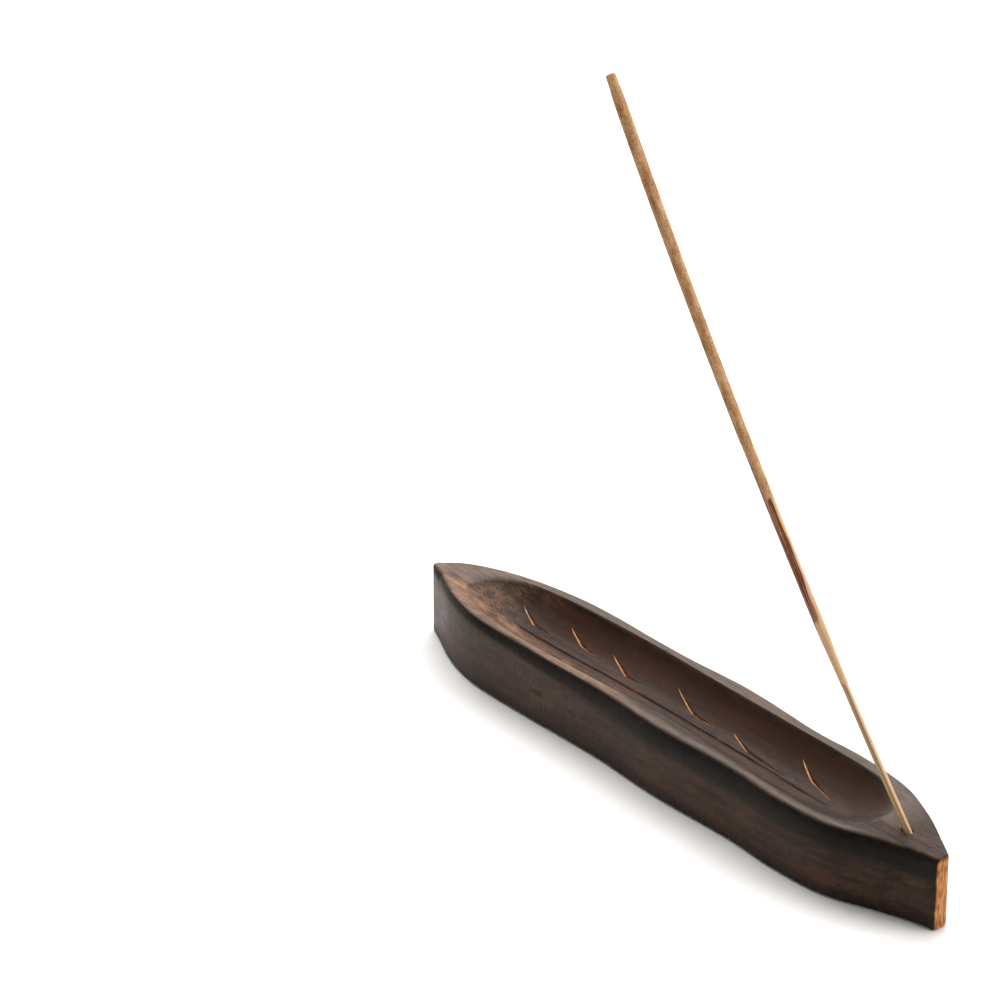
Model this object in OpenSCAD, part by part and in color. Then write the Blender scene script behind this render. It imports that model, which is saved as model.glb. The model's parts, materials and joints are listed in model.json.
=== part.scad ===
// Carved leaf-shaped incense burner: one block of wood scooped into an ash dish,
// with a slanted hole at one end that holds a bamboo incense stick.
// +X points to the end with the stick, +Z up, origin at the middle of the base.

/* [Block] */
// Length from tip to tip
body_length = 254; // [220:1:290]
// Width across the flanks
body_width = 43; // [39:1:50]
// Height of the block
body_height = 26; // [24:0.5:30]
// Radius of the upper edge on the fuller flank
far_round = 1; // [0.6:0.1:2]
// How far in the worn round along the other flank's upper edge reaches
near_round = 2.8; // [2:0.1:4]
// How far down the side that worn round reaches
near_drop = 6; // [3:0.1:8]
// Radius of the lower edge
foot_round = 1.6; // [0.5:0.1:2]

/* [Dish] */
// Depth of the ash dish at its middle
dish_depth = 8.6; // [6:0.1:10]
// Depth of the groove along the leaf's midrib
midrib_depth = 0.9; // [0.5:0.1:1.5]
// Width of the midrib groove at its mouth
midrib_width = 1.6; // [1:0.1:3]

/* [Stick hole] */
// Diameter of the hole for the stick
hole_diameter = 3; // [2.8:0.1:3.6]
// Depth of the hole along its axis
hole_depth = 12; // [10:0.5:13]
// Distance from the middle of the block to the hole's mouth
hole_x = 108; // [105:0.5:109]
// Lean of the hole, and of the foot of the stick, from upright
lean = 39.7; // [30:0.1:42]

/* [Stick] */
// Whole length of the bamboo splint
stick_length = 267; // [230:1:270]
// Radius that the stick has bowed to, which brings it more upright towards its end
bow_radius = 1860; // [1500:10:6000]
// Diameter of the bamboo splint
stick_diameter = 2.4; // [1.8:0.1:2.4]
// Length of splint left bare below the paste
bare_length = 60; // [40:1:150]
// Diameter of the paste at its upper end
paste_top_diameter = 4.3; // [4:0.1:5]
// Diameter of the paste at its lower end
paste_low_diameter = 2.7; // [2.6:0.1:3.4]

/* [Hidden] */

// The leaf as it is drawn, 254 mm by 43 mm: [x, y of the far flank, y of the near flank]
drawn_length = 254;
drawn_width = 43;
leaf = [
    [-127, -3.2, -5.0],
    [-120, 4.8, -8.5],
    [-105, 12.4, -15.2],
    [-88, 17.0, -19.2],
    [-66, 19.8, -19.7],
    [-22, 20.0, -19.1],
    [8, 21.6, -20.6],
    [44, 19.9, -19.8],
    [66, 20.5, -20.9],
    [88, 18.0, -19.4],
    [106, 11.0, -12.8],
    [118, 4.4, -8.6],
    [127, -1.0, -6.2]
];

// The dish as it is drawn: [x, y of the far lip, y of the near lip], before its ends close in
lips = [
    [-110, 13.5, -14.0],
    [-66, 15.5, -15.5],
    [-30, 16.6, -14.5],
    [4, 16.2, -12.5],
    [40, 16.2, -14.5],
    [98, 16.5, -17.5]
];
dish_start = -110;
dish_end = 98;
// Line that the two walls of the dish meet on: its y halfway along, and how far it bows back by the tips
dish_axis = 0.8;
dish_bow = 5.4;
// Exponents: how square the dish is at either end and across, and how steep each wall is
square_start = 7;
square_end = 8;
square_across = 2.4;
steep_far = 0.75;
steep_near = 1.1;
// Extra exponent that lets the dish begin and end in a gentle slope, over its last part
soft_ends = 0.6;
soft_from = 0.75;
// The midrib groove follows that line between these two places and fades out at both
midrib_start = -96;
midrib_end = 82;
midrib_fade = 12;

stretch = body_length / drawn_length;
spread = body_width / drawn_width;

// Mesh of the block: cross-sections along it, and points round each one
sections = 84;
dish_steps = 7;
round_steps = 6;
foot_steps = 2;
// Least opening kept between the lips past the ends of the dish, so no two points meet
least_opening = 0.12;
// Shares of the width at a section: largest edge radius, least land beside it, least inset of the axis
round_share = 0.2;
land_share = 0.06;
axis_share = 0.4;

hole_y = -1;
bore_sides = 64;
stick_sides = 48;
// Number of straight pieces that a preview draws a full turn of the bow in
bow_sides = 1440;
paste_rings = 40;
paste_sides = 24;
paste_round = 0.9;
// Exponent of the paste's growth from its thin lower end: it thickens at once, then slowly
paste_growth = 0.3;

// Smooth curve through the rows of a table, read at x from column k
function row_at(t, x, i = 0) = (i >= len(t) - 2 || x < t[i + 1][0]) ? i : row_at(t, x, i + 1);
function slope(t, i, k) =
    let (a = max(i - 1, 0), b = min(i + 1, len(t) - 1))
    (t[b][k] - t[a][k]) / (t[b][0] - t[a][0]);
function curve(t, x, k) =
    let (
        i = row_at(t, x),
        h = t[i + 1][0] - t[i][0],
        u = (x - t[i][0]) / h,
        rise = t[i + 1][k] - t[i][k],
        bend_a = slope(t, i, k) * h - rise,
        bend_b = rise - slope(t, i + 1, k) * h
    )
    t[i][k] + u * rise + u * (1 - u) * ((1 - u) * bend_a + u * bend_b);

function flank(x, k) = curve(leaf, x, k) * spread;
function lip(x, k) = curve(lips, min(max(x, dish_start), dish_end), k) * spread;
function axis_line(x) = (dish_axis - dish_bow * pow(2 * x / drawn_length, 2)) * spread;
function smooth(v) = let (u = min(max(v, 0), 1)) u * u * (3 - 2 * u);

// How far along the dish x is: -1 at its start, 1 at its end
function along(x) = (2 * x - dish_start - dish_end) / (dish_end - dish_start);
function closing(x) =
    let (s = along(x))
    min(pow(abs(s), s < 0 ? square_start : square_end), 1);
// Share of the lips' full opening left at x
function opening(x) = max(pow(1 - closing(x), 1 / square_across), least_opening);

// Depth of the dish below the rim at a place on the leaf as it is drawn
function scoop(x, y) =
    let (
        side = y > axis_line(x) ? 1 : 2,
        t = (y - axis_line(x)) / (lip(x, side) - axis_line(x)),
        r = closing(x) + pow(abs(t), square_across),
        across = smooth((side == 1 ? t : -t) + 0.5),
        ending = smooth((abs(along(x)) - soft_from) / (1 - soft_from)),
        steep = steep_near + (steep_far - steep_near) * across + soft_ends * ending
    )
    r >= 1 ? 0 : dish_depth * pow(1 - r, steep);
function midrib(x, y) =
    let (
        inside = min(x - midrib_start, midrib_end - x) / midrib_fade,
        near = 1 - abs(y - axis_line(x)) / (midrib_width / 2)
    )
    midrib_depth * smooth(inside) * max(near, 0);
function top_z(x, y) = body_height - scoop(x, y) - midrib(x, y);

// One cross-section, as points [y, z] from the far foot over the top to the near foot
function width(x) = flank(x, 1) - flank(x, 2);
function edge_round(x, r) = min(r, round_share * width(x));
// The same line, kept well inside the flanks at the tips
function axis_y(x) =
    let (inset = axis_share * width(x))
    min(max(axis_line(x), flank(x, 2) + inset), flank(x, 1) - inset);
function lip_y(x, k) =
    let (
        c = axis_y(x),
        inset = edge_round(x, k == 1 ? far_round : near_round) + land_share * width(x),
        open = c + (lip(x, k) - c) * opening(x)
    )
    k == 1 ? min(open, flank(x, 1) - inset) : max(open, flank(x, 2) + inset);
// A rounded edge: it reaches r_full in from the flank and drop_full along it, less at the tips
function corner(x, side, r_full, drop_full, z, up, n) =
    let (
        r = edge_round(x, r_full),
        drop = drop_full * r / r_full,
        y = flank(x, side),
        inward = side == 1 ? -1 : 1
    )
    [for (i = [0:n])
        let (a = 90 * i / n)
        [y + inward * r * (1 - cos(a)), z - up * drop * (1 - sin(a))]];
function reversed(p) = [for (i = [len(p) - 1:-1:0]) p[i]];
function dish_line(x) =
    let (
        far = lip_y(x, 1),
        near = lip_y(x, 2),
        c = axis_y(x),
        w = min(midrib_width / 2, (far - near) / 8)
    )
    concat(
        [for (i = [dish_steps:-1:1]) c + w + (far - c - w) * sin(90 * i / dish_steps)],
        [c + w, c, c - w],
        [for (i = [1:dish_steps]) c - w + (near - c + w) * sin(90 * i / dish_steps)]
    );
function section(x) = concat(
    reversed(corner(x, 1, foot_round, foot_round, 0, -1, foot_steps)),
    corner(x, 1, far_round, far_round, body_height, 1, round_steps),
    [for (y = dish_line(x)) [y, top_z(x, y)]],
    reversed(corner(x, 2, near_round, near_drop, body_height, 1, round_steps)),
    corner(x, 2, foot_round, foot_round, 0, -1, foot_steps)
);

// Sections lie closer together towards the tips, where the outline turns fastest
function section_x(i) = -drawn_length / 2 * cos(180 * i / sections);

module burner_body() {
    rings = [for (i = [0:sections]) let (x = section_x(i)) [for (p = section(x)) [x * stretch, p[0], p[1]]]];
    n = len(rings[0]);
    last = sections * n;
    points = [for (ring = rings) each ring];
    sides = [for (i = [0:sections - 1], j = [0:n - 1])
        let (a = i * n + j, b = i * n + (j + 1) % n)
        each [[a, a + n, b], [b, a + n, b + n]]];
    ends = [for (j = [1:n - 2]) each [[0, j, j + 1], [last, last + j + 1, last + j]]];
    color("#4a3930")
    difference() {
        polyhedron(points, concat(sides, ends));
        at_hole() cylinder(h = 2 * hole_depth, d = hole_diameter, $fn = bore_sides);
    }
}

// Puts a child on the hole's axis, standing on the bottom of the hole
module at_hole() {
    translate([hole_x * stretch, hole_y * spread, body_height])
        rotate([0, -lean, 0])
            translate([0, 0, -hole_depth])
                children();
}

// The bowed splint, standing on the origin
module splint(d, length) {
    turn = length / bow_radius * 180 / PI;
    translate([bow_radius, 0, 0])
        rotate([90, 0, 0])
            rotate([0, 0, 180 - turn])
                rotate_extrude(angle = turn, $fn = bow_sides)
                    translate([bow_radius, 0])
                        circle(d = d, $fn = stick_sides);
}

// A ring of points round the bowed splint, a length l up it
function bow_ring(l, r) =
    let (turn = l / bow_radius * 180 / PI)
    [for (j = [0:paste_sides - 1])
        let (a = 360 * j / paste_sides, out = r * cos(a))
        [
            bow_radius * (1 - cos(turn)) + out * cos(turn),
            r * sin(a),
            bow_radius * sin(turn) - out * sin(turn)
        ]];
function paste_radius(v) =
    (paste_low_diameter + pow(v, paste_growth) * (paste_top_diameter - paste_low_diameter)) / 2;

module bamboo_core() {
    color("#e0b877")
    at_hole() splint(stick_diameter, stick_length);
}

module incense_paste() {
    paste_end = stick_length + paste_round;
    straight = stick_length - bare_length;
    rows = concat(
        [for (i = [0:paste_rings])
            let (v = pow(i / paste_rings, 2))
            [bare_length + v * straight, paste_radius(v)]],
        [for (a = [30:30:90])
            [paste_end - paste_round * (1 - sin(a)), paste_radius(1) - paste_round * (1 - cos(a))]]
    );
    points = [for (row = rows) each bow_ring(row[0], row[1])];
    n = paste_sides;
    last = (len(rows) - 1) * n;
    sides = [for (i = [0:len(rows) - 2], j = [0:n - 1])
        let (a = i * n + j, b = i * n + (j + 1) % n)
        each [[a, a + n, b], [b, a + n, b + n]]];
    ends = [for (j = [1:n - 2]) each [[0, j, j + 1], [last, last + j + 1, last + j]]];
    color("#b98a56")
    at_hole()
        difference() {
            polyhedron(points, concat(sides, ends));
            splint(stick_diameter, stick_length);
        }
}

burner_body();
bamboo_core();
incense_paste();
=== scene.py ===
"""A carved leaf-shaped incense burner of dark stained wood, holding a bowed bamboo incense stick."""

import json
import math

import bmesh
import bpy
import numpy as np
from mathutils import Matrix, Vector, noise


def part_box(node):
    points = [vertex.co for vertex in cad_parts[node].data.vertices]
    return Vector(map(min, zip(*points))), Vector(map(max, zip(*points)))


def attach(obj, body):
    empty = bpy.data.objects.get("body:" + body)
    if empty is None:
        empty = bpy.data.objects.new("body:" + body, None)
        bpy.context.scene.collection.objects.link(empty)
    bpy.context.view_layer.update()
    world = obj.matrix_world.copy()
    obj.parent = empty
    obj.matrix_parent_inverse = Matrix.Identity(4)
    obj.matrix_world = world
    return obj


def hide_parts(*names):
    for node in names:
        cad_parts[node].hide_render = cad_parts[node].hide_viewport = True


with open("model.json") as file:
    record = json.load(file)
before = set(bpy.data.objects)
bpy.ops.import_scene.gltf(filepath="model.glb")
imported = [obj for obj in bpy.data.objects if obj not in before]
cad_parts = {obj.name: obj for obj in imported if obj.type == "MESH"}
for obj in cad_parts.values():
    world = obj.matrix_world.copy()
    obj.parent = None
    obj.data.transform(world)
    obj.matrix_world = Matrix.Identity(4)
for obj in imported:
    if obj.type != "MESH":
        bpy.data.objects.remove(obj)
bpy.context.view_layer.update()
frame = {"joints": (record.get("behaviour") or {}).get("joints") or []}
_, body_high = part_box("burner_body")

MM = 0.001

# ---------------------------------------------------------------- sizes, in mm

# The leaf's outline: x, y of the far flank, y of the near flank
LEAF = np.array([
    (-127, -3.2, -5.0),
    (-120, 4.8, -8.5),
    (-105, 12.4, -15.2),
    (-88, 17.0, -19.2),
    (-66, 19.8, -19.7),
    (-22, 20.0, -19.1),
    (8, 21.6, -20.6),
    (44, 19.9, -19.8),
    (66, 20.5, -20.9),
    (88, 18.0, -19.4),
    (106, 11.0, -12.8),
    (118, 4.4, -8.6),
    (127, -1.0, -6.2),
], float)
HALF_LENGTH = body_high.x / MM
HEIGHT = body_high.z / MM

# The dish's lips: x, y of the far lip, y of the near lip, before its ends close in
LIPS = np.array([
    (-110, 13.5, -14.0),
    (-66, 15.5, -15.5),
    (-30, 16.6, -14.5),
    (4, 16.2, -12.5),
    (40, 16.2, -14.5),
    (98, 16.5, -17.5),
], float)
DISH_START, DISH_END = -110.0, 98.0
DISH_DEPTH = 8.6
# How square the dish's two ends and its section are, as powers: 2 is an ellipse
SQUARE_START, SQUARE_END, SQUARE_ACROSS = 7.0, 8.0, 2.4
# The power that shapes each wall: the lower it is, the steeper the wall falls from its lip
STEEP_FAR, STEEP_NEAR = 0.75, 1.1
# What the ends add to that power, and from what share of the dish's half length
SOFT_ENDS, SOFT_FROM = 0.6, 0.75
# The dish's rows of points never close in below this share of its width
LEAST_OPENING = 0.12

# The midrib bows: its y halfway along, and how far it swings back by the tips
MIDRIB_Y, MIDRIB_BOW = 0.8, 5.4
MIDRIB_START, MIDRIB_END = -96.0, 84.0

# The worn near edge reaches further down the side than it does in across the top
FAR_ROUND, NEAR_ROUND, NEAR_DROP, FOOT_ROUND = 1.0, 2.8, 6.0, 1.6
# Shares of the width: the most a rounded edge takes, and the least left to a land and beside the axis
ROUND_SHARE, LAND_SHARE, AXIS_SHARE = 0.2, 0.06, 0.4
# How much the upright edges of the two tips are rubbed round
TIP_ROUND, END_ROUND = 0.7, 1.2

# Each vein is a chip cut on the far wall, bent once: tip, elbow, end, as x, y
VEINS = [
    ((-93, 7.0), (-81.5, 3.3), (-71, 2.8)),
    ((-70.5, 10.0), (-60, 6.4), (-51.5, 5.3)),
    ((-49, 10.0), (-35.5, 5.2), (-26.5, 4.8)),
    ((-17, 11.3), (-2, 5.7), (11.5, 4.5)),
    ((15.5, 7.3), (28, 3.3), (50, 1.5)),
    ((45, 11.4), (56, 6.2), (71.5, 1.7)),
]

# The stick's hole: where its mouth is, its depth along its slant, and its radius
HOLE_X, HOLE_Y, HOLE_DEPTH, HOLE_RADIUS = 108.0, -1.0, 12.0, 1.5

# The stick, measured along its bow from the bottom of the hole
STICK_LENGTH, STICK_RADIUS, BOW_RADIUS = 267.0, 1.2, 1860.0
PASTE_LOW, PASTE_LOW_RADIUS, PASTE_TOP_RADIUS = 60.0, 1.35, 2.15
# The paste thickens at once from its lower end, then slowly
PASTE_GROWTH = 0.3
# How far the rounded top of the paste draws in
PASTE_DOME = 0.9
# The paste has flaked off down to its resin between these, on one side
FLAKE_LOW, FLAKE_TOP = 84.0, 125.0

# A seed for each use of lumps()
SEED_HOLLOWS, SEED_FINE_HOLLOWS, SEED_RIPPLE, SEED_FINE_RIPPLE = range(4)
SEED_RAGGED, SEED_FINE_RAGGED, SEED_FIBRE, SEED_BUMPS, SEED_FINE_BUMPS = 5, 6, 8, 11, 12
SEED_VEINS, SEED_MIDRIB = 20, 21

pull = Vector(frame["joints"][0]["axis"])
LEAN = math.atan2(-pull.x, pull.z)


# ---------------------------------------------------------------- camera

CAMERA_AZIMUTH, CAMERA_ELEVATION = math.radians(51), math.radians(27)
CAMERA_AIM, CAMERA_DISTANCE = Vector((-0.069, -0.0221, 0.079)), 1.653
SENSOR_WIDTH, LENS = 36, 180
NEAREST, FARTHEST = 0.05, 20


def make_camera():
    """The camera, at the viewing angle that the photo was taken from."""
    back = Vector((
        math.sin(CAMERA_AZIMUTH) * math.cos(CAMERA_ELEVATION),
        -math.cos(CAMERA_AZIMUTH) * math.cos(CAMERA_ELEVATION),
        math.sin(CAMERA_ELEVATION),
    ))
    data = bpy.data.cameras.new("camera")
    data.sensor_width = SENSOR_WIDTH
    data.lens = LENS
    data.clip_start = NEAREST
    data.clip_end = FARTHEST
    camera = bpy.data.objects.new("camera", data)
    camera.location = CAMERA_AIM + back * CAMERA_DISTANCE
    camera.rotation_mode = "QUATERNION"
    camera.rotation_quaternion = (-back).to_track_quat("-Z", "Y")
    bpy.context.scene.collection.objects.link(camera)
    bpy.context.scene.camera = camera


make_camera()


# ---------------------------------------------------------------- small tools

def smooth(v):
    """Eases from 0 to 1 as v does, and holds at each end."""
    u = np.clip(v, 0, 1)
    return u * u * (3 - 2 * u)


def ramp(v, start, end):
    """0 up to the start, 1 from the end on, and eased between them."""
    return smooth((np.asarray(v, float) - start) / (end - start))


def row_slope(table, i, column):
    """The slope of a column at row i, taken across the rows beside it."""
    before, after = np.maximum(i - 1, 0), np.minimum(i + 1, len(table) - 1)
    return (table[after, column] - table[before, column]) / (table[after, 0] - table[before, 0])


def curve(table, x, column):
    """A smooth curve through the rows of a table, read at x."""
    x = np.asarray(x, float)
    i = np.clip(np.searchsorted(table[:, 0], x, side="right") - 1, 0, len(table) - 2)
    step = table[i + 1, 0] - table[i, 0]
    u = (x - table[i, 0]) / step
    rise = table[i + 1, column] - table[i, column]
    bend_in = row_slope(table, i, column) * step - rise
    bend_out = rise - row_slope(table, i + 1, column) * step
    return table[i, column] + u * rise + u * (1 - u) * ((1 - u) * bend_in + u * bend_out)


# Lumps with different seeds come from places this far apart in the noise
SEED_STEP = 17.3


def lumps(points, scale, seed):
    """Smooth noise from -1 to 1 at each point. scale is one over the size of a lump."""
    scale = np.broadcast_to(np.asarray(scale, float), 3)
    shifted = np.asarray(points, float) * scale + seed * SEED_STEP
    return np.array([noise.noise(Vector(p)) for p in shifted])


def mesh_object(name, points, faces, materials, material_of_face=None):
    """A new object from points in mm, its faces and their materials."""
    mesh = bpy.data.meshes.new(name)
    mesh.from_pydata([tuple(p) for p in np.asarray(points) * MM], [], faces)
    for material in materials:
        mesh.materials.append(material)
    if material_of_face is not None:
        mesh.polygons.foreach_set("material_index", material_of_face)
    mesh.validate()
    thing = bpy.data.objects.new(name, mesh)
    bpy.context.scene.collection.objects.link(thing)
    return thing


def store(thing, name, values):
    """A number per vertex, for the materials to read."""
    layer = thing.data.attributes.new(name, "FLOAT", "POINT")
    layer.data.foreach_set("value", np.ascontiguousarray(values, np.float32))


def store_place(thing, name, places):
    """A position per vertex, in metres, for the materials to read."""
    layer = thing.data.attributes.new(name, "FLOAT_VECTOR", "POINT")
    metres = np.ascontiguousarray(np.asarray(places) * MM, np.float32)
    layer.data.foreach_set("vector", metres.ravel())


def vertices_of(thing):
    """Where a mesh's vertices are, in mm."""
    flat = np.zeros(len(thing.data.vertices) * 3)
    thing.data.vertices.foreach_get("co", flat)
    return flat.reshape(-1, 3) / MM


def ring_faces(rings, per_ring):
    """Quads between closed rings of points, and the two end caps."""
    faces = []
    for i in range(rings - 1):
        for j in range(per_ring):
            a, b = i * per_ring + j, i * per_ring + (j + 1) % per_ring
            faces.append((a, a + per_ring, b + per_ring, b))
    last = (rings - 1) * per_ring
    faces.append(tuple(range(per_ring)))
    faces.append(tuple(reversed(range(last, last + per_ring))))
    return faces


# ---------------------------------------------------------------- the leaf's shape

def flank(x, side):
    """y of the block's side at x: side 1 is the far one, 2 the near one."""
    return curve(LEAF, x, side)


def lip(x, side):
    """y of the dish's lip at x, before the ends close in: side 1 is the far one, 2 the near one."""
    return curve(LIPS, np.clip(x, DISH_START, DISH_END), side)


def midrib_y(x):
    return MIDRIB_Y - MIDRIB_BOW * (np.asarray(x, float) / HALF_LENGTH) ** 2


def along_dish(x):
    """Where x is along the dish: -1 at its start, 1 at its end."""
    return (2 * np.asarray(x, float) - DISH_START - DISH_END) / (DISH_END - DISH_START)


def closing(x):
    """How far the dish's ends have closed in at x: 0 at its middle, 1 past either end."""
    along = along_dish(x)
    return np.minimum(np.abs(along) ** np.where(along < 0, SQUARE_START, SQUARE_END), 1)


def scoop(x, y):
    """Depth of the dish below the rim."""
    middle = midrib_y(x)
    far = np.asarray(y) > middle
    across = np.abs((y - middle) / (np.where(far, lip(x, 1), lip(x, 2)) - middle))
    reach = closing(x) + across ** SQUARE_ACROSS
    steep = STEEP_NEAR + (STEEP_FAR - STEEP_NEAR) * smooth(np.where(far, across, -across) + 0.5)
    steep = steep + SOFT_ENDS * smooth((np.abs(along_dish(x)) - SOFT_FROM) / (1 - SOFT_FROM))
    return np.where(reach >= 1, 0, DISH_DEPTH * np.clip(1 - reach, 0, None) ** steep)


def surface(x, y):
    return HEIGHT - scoop(x, y)


def surface_normal(x, y, step=0.2):
    slope_x = (surface(x + step, y) - surface(x - step, y)) / (2 * step)
    slope_y = (surface(x, y + step) - surface(x, y - step)) / (2 * step)
    return Vector((-float(slope_x), -float(slope_y), 1)).normalized()


# Sections along the block. TIP_EASE is how far they crowd together towards the tips: 0 not, 1 most
SECTIONS, TIP_EASE = 420, 0.75
# Steps in each stretch of a section
FOOT_STEPS, WALL_STEPS, DISH_STEPS, LAND_STEPS, BASE_STEPS = 4, 14, 64, 8, 20
FAR_STEPS, NEAR_STEPS = 6, 16


def corner(y, z, reach, drop, inward, up, steps):
    """A rounded edge from wall to flat: it reaches in across the flat and drops down the wall."""
    turn = np.linspace(0, math.pi / 2, steps + 1)
    return [
        (y + inward * reach * (1 - math.cos(a)), z - up * drop * (1 - math.sin(a)))
        for a in turn
    ]


def between(start, end, steps):
    """Points from start to end, leaving out both."""
    return [start + (end - start) * k / steps for k in range(1, steps)]


def section_line(x):
    """Points (y, z) once round the block, each an array along x, from the far foot over the top."""
    far, near = flank(x, 1), flank(x, 2)
    width = far - near
    most = ROUND_SHARE * width
    far_in, near_in = np.minimum(FAR_ROUND, most), np.minimum(NEAR_ROUND, most)
    near_down = NEAR_DROP * near_in / NEAR_ROUND
    foot = np.minimum(FOOT_ROUND, most)
    axis = np.clip(midrib_y(x), near + AXIS_SHARE * width, far - AXIS_SHARE * width)
    opening = np.maximum((1 - closing(x)) ** (1 / SQUARE_ACROSS), LEAST_OPENING)
    land = LAND_SHARE * width
    far_lip = np.minimum(axis + (lip(x, 1) - axis) * opening, far - far_in - land)
    near_lip = np.maximum(axis + (lip(x, 2) - axis) * opening, near + near_in + land)
    base, top = np.zeros_like(x), np.full_like(x, HEIGHT)

    line = list(reversed(corner(far, base, foot, foot, -1, -1, FOOT_STEPS)))
    line += [(far, z) for z in between(foot, top - far_in, WALL_STEPS)]
    line += corner(far, top, far_in, far_in, -1, 1, FAR_STEPS)
    spread = [math.sin(math.pi / 2 * k / DISH_STEPS) for k in range(DISH_STEPS + 1)]
    across = between(far - far_in, far_lip, LAND_STEPS)
    across += [axis + (far_lip - axis) * s for s in reversed(spread)]
    across += [axis + (near_lip - axis) * s for s in spread[1:]]
    across += between(near_lip, near + near_in, LAND_STEPS)
    line += [(y, surface(x, y)) for y in across]
    line += list(reversed(corner(near, top, near_in, near_down, 1, 1, NEAR_STEPS)))
    line += [(near, z) for z in between(top - near_down, foot, WALL_STEPS)]
    line += corner(near, base, foot, foot, 1, -1, FOOT_STEPS)
    line += [(y, base) for y in between(near + foot, far - foot, BASE_STEPS)]
    return line


def block_rings():
    """Closed sections of the carved block, as an array [section, point, xyz]."""
    turn = np.linspace(0, math.pi, SECTIONS + 1)
    even = 1 - 2 * turn / math.pi
    x = -HALF_LENGTH * (TIP_EASE * np.cos(turn) + (1 - TIP_EASE) * even)
    rings = np.array([[x, y + 0 * x, z + 0 * x] for y, z in section_line(x)]).transpose(2, 0, 1)
    return rub_tips(rings, x)


def rub_tips(rings, x):
    """Draws the last sections in towards their own middles, so the end faces have round edges."""
    reach = np.where(x < 0, TIP_ROUND, END_ROUND)
    u = np.clip(1 - (HALF_LENGTH - np.abs(x)) / reach, 0, 1)
    inset = (reach * (1 - np.sqrt(1 - u * u)))[:, None]
    middle = ((flank(x, 1) + flank(x, 2)) / 2)[:, None]
    half = ((flank(x, 1) - flank(x, 2)) / 2)[:, None]
    rings[:, :, 1] = middle + (rings[:, :, 1] - middle) * (1 - inset / half)
    rings[:, :, 2] = HEIGHT / 2 + (rings[:, :, 2] - HEIGHT / 2) * (1 - 2 * inset / HEIGHT)
    return rings


# ---------------------------------------------------------------- materials

def srgb(text):
    """The linear colour that Blender takes, from its usual #rrggbb text."""
    parts = [int(text[i:i + 2], 16) / 255 for i in (1, 3, 5)]
    return [p / 12.92 if p <= 0.04045 else ((p + 0.055) / 1.055) ** 2.4 for p in parts] + [1.0]


class Nodes:
    """Builds one material's nodes. Every call returns the socket that carries its result."""

    def __init__(self, name, along=None):
        self.material = bpy.data.materials.new(name)
        self.material.use_nodes = True
        self.tree = self.material.node_tree
        self.shader = self.tree.nodes["Principled BSDF"]
        self.along = along

    def add(self, kind, inputs=(), **settings):
        node = self.tree.nodes.new(kind)
        for key, value in settings.items():
            setattr(node, key, value)
        for key, value in dict(inputs).items():
            self.feed(node.inputs[key], value)
        return node

    def feed(self, socket, value):
        if isinstance(value, bpy.types.NodeSocket):
            self.tree.links.new(value, socket)
        else:
            socket.default_value = value

    def place(self, stretch):
        """The object's coordinates, or the ones stored along its length, times a stretch on each axis."""
        if self.along:
            here = self.add("ShaderNodeAttribute", attribute_name=self.along).outputs["Vector"]
        else:
            here = self.add("ShaderNodeTexCoord").outputs["Object"]
        return self.add("ShaderNodeMapping", {"Vector": here, "Scale": stretch}).outputs["Vector"]

    def noise(self, stretch, detail=4.0, rough=0.55, twist=0.0):
        """Noise from 0 to 1. stretch is how many lumps there are to a metre on each axis."""
        return self.add("ShaderNodeTexNoise", {
            "Vector": self.place(stretch), "Scale": 1.0, "Detail": detail,
            "Roughness": rough, "Distortion": twist,
        }).outputs["Fac"]

    def voronoi(self, stretch):
        node = self.add("ShaderNodeTexVoronoi", {"Vector": self.place(stretch), "Scale": 1.0})
        return node.outputs["Distance"]

    def attribute(self, name):
        return self.add("ShaderNodeAttribute", attribute_name=name).outputs["Fac"]

    def math(self, operation, a, b):
        node = self.add("ShaderNodeMath", operation=operation)
        self.feed(node.inputs[0], a)
        self.feed(node.inputs[1], b)
        return node.outputs[0]

    def scaled(self, value, share):
        return self.math("MULTIPLY", value, share)

    def blend(self, *parts):
        """The sum of values, each times its share: parts are (value, share)."""
        total = self.scaled(*parts[0])
        for value, share in parts[1:]:
            total = self.math("ADD", total, self.scaled(value, share))
        return total

    def swing(self, value, texture, share):
        """The value, moved up and down by a texture about its middle grey."""
        about = self.math("SUBTRACT", texture, 0.5)
        return self.math("ADD", value, self.scaled(about, share))

    def span(self, value, low, high, out_low=0.0, out_high=1.0):
        """Takes low to high onto out_low to out_high, eased, and held at both ends."""
        return self.add("ShaderNodeMapRange", {
            "Value": value, "From Min": low, "From Max": high, "To Min": out_low, "To Max": out_high,
        }, interpolation_type="SMOOTHSTEP").outputs["Result"]

    def colours(self, value, stops):
        """A colour for each value, from stops of a place and a #rrggbb colour."""
        node = self.add("ShaderNodeValToRGB", {"Fac": value})
        elements = node.color_ramp.elements
        while len(elements) < len(stops):
            elements.new(0.5)
        for element, (position, colour) in zip(elements, stops):
            element.position = position
            element.color = srgb(colour)
        return node.outputs["Color"]

    def mix(self, factor, a, b):
        """Colour a where the factor is 0 and b where it is 1."""
        node = self.add("ShaderNodeMix", data_type="RGBA")
        self.feed(node.inputs["Factor"], factor)
        self.feed(node.inputs["A"], a)
        self.feed(node.inputs["B"], b)
        return node.outputs["Result"]

    def bump(self, height, strength, distance):
        inputs = {"Height": height, "Strength": strength, "Distance": distance}
        return self.add("ShaderNodeBump", inputs).outputs["Normal"]

    def finish(self, colour, roughness, normal=None, **fixed):
        """Feeds the shader. fixed gives a plain value to each socket it names."""
        self.feed(self.shader.inputs["Base Color"], colour)
        self.feed(self.shader.inputs["Roughness"], roughness)
        if normal is not None:
            self.feed(self.shader.inputs["Normal"], normal)
        for name, value in fixed.items():
            self.shader.inputs[name.replace("_", " ")].default_value = value
        return self.material


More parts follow.
